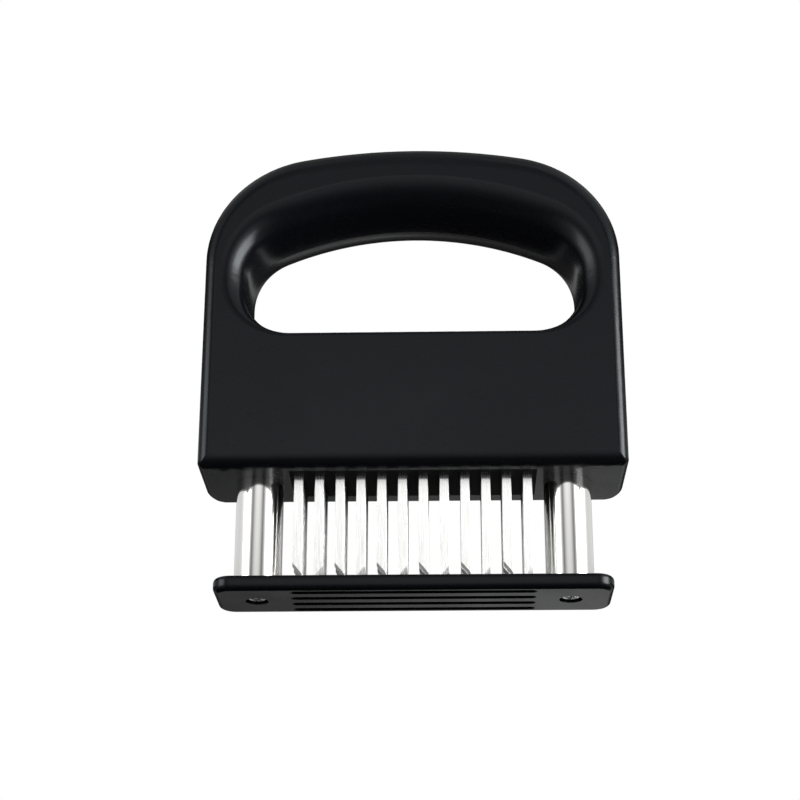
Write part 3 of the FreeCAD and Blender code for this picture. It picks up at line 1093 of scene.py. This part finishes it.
# ---------------------------------------------------------------- springs
@dataclass
class Springs:
    """Return springs inside the posts, with closed end coils."""

    radius: float = 0.00413
    wire: float = 0.0005
    turns: float = 15.0
    low_z: float = 0.01386
    high_z: float = 0.06298
    closed_turns: float = 1.25
    closed_pitch: float = 2.02
    peg_z: float = 0.06348
    kept: float = 0.521
    turn_steps: int = 40
    wire_steps: int = 14
    sharp_degrees: float = 50.0

    def tree(self, inputs: Inputs) -> bpy.types.NodeTree:
        """Make the geometry tree of a coil with closed ends on each point.

        Args:
            inputs: Values by the name of each input.

        Returns:
            The tree.
        """
        graph, given = geometry_tree("closed_coil", inputs)
        radius, wire, turns, length, closed = (
            given.outputs[name] for name in ("Radius", "Wire", "Turns", "Height", "Closed Turns")
        )
        coil = graph.node("GeometryNodeCurveSpiral", {
            "Resolution": self.turn_steps, "Rotations": turns, "Start Radius": radius,
            "End Radius": radius, "Height": length,
        })
        along = graph.node("GeometryNodeSplineParameter", {}).outputs["Factor"]
        share = graph.math("DIVIDE", closed, turns)
        late = graph.math("SUBTRACT", 1.0, share)
        shut = graph.math("MULTIPLY", graph.math("MULTIPLY", wire, self.closed_pitch), closed)
        free = graph.math("SUBTRACT", length, graph.math("MULTIPLY", shut, 2.0))
        height = 0.0
        for start, end, rise in ((0.0, share, shut), (share, late, free), (late, 1.0, shut)):
            height = graph.math("ADD", height, graph.span(along, Span(start, end, 0.0, rise)))
        where = graph.node("ShaderNodeSeparateXYZ", {
            0: graph.node("GeometryNodeInputPosition", {}).outputs[0]
        })
        shaped = graph.node("GeometryNodeSetPosition", {
            "Geometry": coil.outputs[0],
            "Position": graph.vector(where.outputs[0], where.outputs[1], height),
        })
        ring = graph.node("GeometryNodeCurvePrimitiveCircle", {
            "Resolution": self.wire_steps, "Radius": wire
        })
        swept = graph.node("GeometryNodeCurveToMesh", {
            "Curve": shaped.outputs[0], "Profile Curve": ring.outputs[0], "Fill Caps": True
        })
        both = graph.node("GeometryNodeInstanceOnPoints", {
            "Points": given.outputs["Geometry"], "Instance": swept.outputs[0]
        })
        return finish_tree(graph, both.outputs[0], given.outputs["Material"])

    def build(self) -> None:
        """Build both springs as one piece."""
        places = ((side.value * POST_X, 0.0, self.low_z) for side in Side)
        piece = points_object("return_springs", places)
        inputs = {
            "Radius": self.radius, "Wire": self.wire, "Turns": self.turns,
            "Height": self.high_z - self.low_z, "Closed Turns": self.closed_turns,
            "Material": WIRE_STEEL.material(),
        }
        grow(piece, self.tree(inputs), inputs)
        smooth_by_angle(piece.data, self.sharp_degrees)
        place_piece(piece, Body.HANDLE, ("left_spring", "right_spring"))
        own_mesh(piece)


# ---------------------------------------------------------------- studio
@dataclass(frozen=True)
class Softbox:
    """One flat studio lamp that faces the object; its angles are in degrees."""

    name: str
    azimuth: float
    elevation: float
    distance: float
    width: float
    height: float
    radiance: float

    def build(self, target: Vector) -> None:
        """Hang the lamp.

        Args:
            target: Point that it faces.
        """
        lamp = bpy.data.lights.new(self.name, "AREA")
        lamp.shape = "RECTANGLE"
        lamp.size = self.width
        lamp.size_y = self.height
        lamp.energy = math.pi * self.radiance * self.width * self.height
        around, up = math.radians(self.azimuth), math.radians(self.elevation)
        away = Vector((
            math.sin(around) * math.cos(up), -math.cos(around) * math.cos(up), math.sin(up)
        )) * self.distance
        holder = add_object(self.name, lamp)
        holder.location = target + away
        holder.rotation_euler = (-away).to_track_quat("-Z", "Y").to_euler()


@dataclass
class Studio:
    """Camera, floor, backdrop and soft lamps.

    Levels are read round the object and heights up and down, at angles in degrees.  The back is
    darker on the left below the horizon and in the middle above it; its spans are read along one
    axis of the direction that a glossy surface looks in.
    """

    camera_place: Place = (0.009226, -0.456074, -0.132057)
    camera_pitch: float = 22.2
    camera_yaw: float = 1.597
    camera_roll: float = 0.082
    camera_near: float = 0.01
    lens: float = 85.079
    sensor: float = 36.0
    floor_z: float = 0.0001
    floor_half: float = 6.0
    floor_colour: Colour = (0.86, 0.86, 0.86)
    floor_swing: tuple[float, float] = (0.99, 1.01)
    floor_cloud: Grain = Grain(9.0, 3.0)
    floor_roughness: float = 0.9
    floor_lift: float = 0.38
    fill: float = 0.6
    target: Place = (0.0, 0.0, 0.06)
    lamps: tuple[Softbox, ...] = (
        Softbox("left_softbox", azimuth=-60.0, elevation=10.0, distance=0.9,
                width=0.5, height=0.47, radiance=2.6),
        Softbox("right_softbox", azimuth=60.0, elevation=10.0, distance=0.9,
                width=0.8, height=0.47, radiance=1.2),
        Softbox("right_core", azimuth=63.0, elevation=5.0, distance=0.85,
                width=0.48, height=0.6, radiance=9.0),
    )
    front_levels: Pairs = (
        (-180.0, 0.8), (-95.0, 0.8), (-80.0, 0.85), (-68.0, 1.2), (-46.0, 1.3), (-40.0, 1.0),
        (-34.0, 0.45), (-28.7, 0.16), (-23.0, 0.4), (-14.0, 0.76), (-4.0, 0.86), (8.0, 0.76),
        (16.0, 0.4), (21.4, 0.16), (27.0, 0.45), (34.0, 1.0), (40.0, 1.4), (75.0, 1.4),
        (85.0, 1.1), (95.0, 1.0), (180.0, 1.0),
    )
    front_heights: Pairs = (
        (-90.0, 0.03), (-50.0, 0.05), (-36.0, 0.15), (-16.0, 0.42), (0.0, 0.72), (9.0, 0.74),
        (14.0, 0.66), (16.0, 0.84), (17.5, 1.02), (19.0, 1.08), (21.0, 1.5), (22.5, 1.2),
        (25.0, 0.45), (32.0, 0.5), (45.0, 0.4), (90.0, 0.3),
    )
    back_heights: Pairs = (
        (-90.0, 0.01), (-30.0, 0.01), (-23.0, 0.03), (-20.6, 0.3), (-19.4, 0.62), (-16.5, 1.05),
        (-14.5, 0.95), (-12.0, 0.07), (15.0, 0.05), (16.5, 0.78), (20.3, 0.78), (21.6, 0.02),
        (36.0, 0.02), (50.0, 0.5), (90.0, 0.5),
    )
    back_starts: Span = Span(-0.1, 0.15, 0.0, 1.0, smooth=True)
    left_fade: Span = Span(-0.14, 0.1, 0.35, 1.0, smooth=True)
    left_fade_ends: Span = Span(-0.24, -0.1, 0.0, 1.0, smooth=True)
    middle_fade: Span = Span(0.15, 0.5, 0.3, 1.0, smooth=True)
    middle_fade_starts: Span = Span(-0.05, 0.05, 1.0, 0.0)

    def build(self) -> None:
        """Set up everything round the object."""
        self.camera()
        self.floor()
        self.world()
        for lamp in self.lamps:
            lamp.build(Vector(self.target))
        bpy.context.scene.view_settings.view_transform = "Standard"

    def camera(self) -> None:
        """Place the camera below the tool, looking up at its front."""
        data = bpy.data.cameras.new("camera")
        data.lens = self.lens
        data.sensor_width = self.sensor
        data.clip_start = self.camera_near
        holder = add_object("camera", data)
        yaw = Matrix.Rotation(math.radians(self.camera_yaw), 4, "Z")
        pitch = Matrix.Rotation(math.radians(QUARTER_TURN + self.camera_pitch), 4, "X")
        roll = Matrix.Rotation(math.radians(self.camera_roll), 4, "Z")
        holder.matrix_world = Matrix.Translation(self.camera_place) @ yaw @ pitch @ roll
        bpy.context.scene.camera = holder

    def floor(self) -> None:
        """Lay a pale floor that mirrors don't show."""
        shape = bmesh.new()
        half = self.floor_half
        corners = ((-half, -half), (half, -half), (half, half), (-half, half))
        shape.faces.new([shape.verts.new((x, y, self.floor_z)) for x, y in corners])
        plane = plain_object("floor", shape)
        plane.data.materials.append(self.floor_material())
        plane.visible_glossy = False

    def floor_material(self) -> bpy.types.Material:
        """Make a pale surface, a little lifted where it is seen, that is clear from below.

        Returns:
            The material.
        """
        material, graph, shader = shader_graph("pale_floor")
        cloud = graph.noise(graph.local(), self.floor_cloud)
        seen = graph.node("ShaderNodeLightPath", {}).outputs["Is Camera Ray"]
        graph.feed(shader, {
            "Base Color": graph.tint(cloud, self.floor_colour, self.floor_swing),
            "Roughness": self.floor_roughness,
            "Emission Color": opaque(WHITE),
            "Emission Strength": graph.math("MULTIPLY", seen, self.floor_lift),
        })
        under = graph.node("ShaderNodeNewGeometry", {}).outputs["Backfacing"]
        clear = graph.node("ShaderNodeBsdfTransparent", {}).outputs[0]
        mixed = graph.node("ShaderNodeMixShader", {0: under, 1: shader.outputs[0], 2: clear})
        graph.feed(graph.tree.nodes["Material Output"], {"Surface": mixed.outputs[0]})
        return material

    def world(self) -> None:
        """White backdrop, soft fill, and the cards and gaps that glossy surfaces show."""
        world = bpy.data.worlds.new("studio")
        bpy.context.scene.world = world
        world.use_nodes = True
        world.cycles.sampling_method = "NONE"
        graph = Graph(world.node_tree)
        facing = graph.node("ShaderNodeTexCoord", {}).outputs["Generated"]
        x, y, z = graph.node("ShaderNodeSeparateXYZ", {0: facing}).outputs
        around = graph.math("ARCTAN2", x, graph.math("MULTIPLY", y, -1.0))
        turn = graph.span(around, Span(-math.pi, math.pi, 0.0, 1.0))
        rise = graph.math("ADD", graph.math("DIVIDE", graph.math("ARCSINE", z), math.pi), 0.5)
        front = graph.math(
            "MULTIPLY", graph.ramp(turn, HALF_TURN, self.front_levels),
            graph.ramp(rise, QUARTER_TURN, self.front_heights),
        )
        aside = graph.math("ABSOLUTE", x)
        back = graph.ramp(rise, QUARTER_TURN, self.back_heights)
        for place, fade, limit in (
            (x, self.left_fade, self.left_fade_ends),
            (aside, self.middle_fade, self.middle_fade_starts),
        ):
            share = graph.math("MAXIMUM", graph.span(place, fade), graph.span(z, limit))
            back = graph.math("MULTIPLY", back, share)
        cards = graph.mix(graph.span(y, self.back_starts), front, back)
        path = graph.node("ShaderNodeLightPath", {}).outputs
        mirrored = graph.math("MAXIMUM", path["Is Glossy Ray"], path["Is Transmission Ray"])
        level = graph.mix(mirrored, self.fill, cards)
        graph.feed(world.node_tree.nodes["Background"], {
            "Color": opaque(WHITE),
            "Strength": graph.math("MAXIMUM", path["Is Camera Ray"], level),
        })


def main() -> None:
    """Build every sub-assembly in order."""
    logging.basicConfig(level=logging.INFO, format="%(name)s: %(message)s")
    for assembly in (Studio(), Casing(), BladeSet(), Guard(), Springs(), Screws()):
        log.info("building %s", type(assembly).__name__)
        assembly.build()


if __name__ == "__main__":
    main()
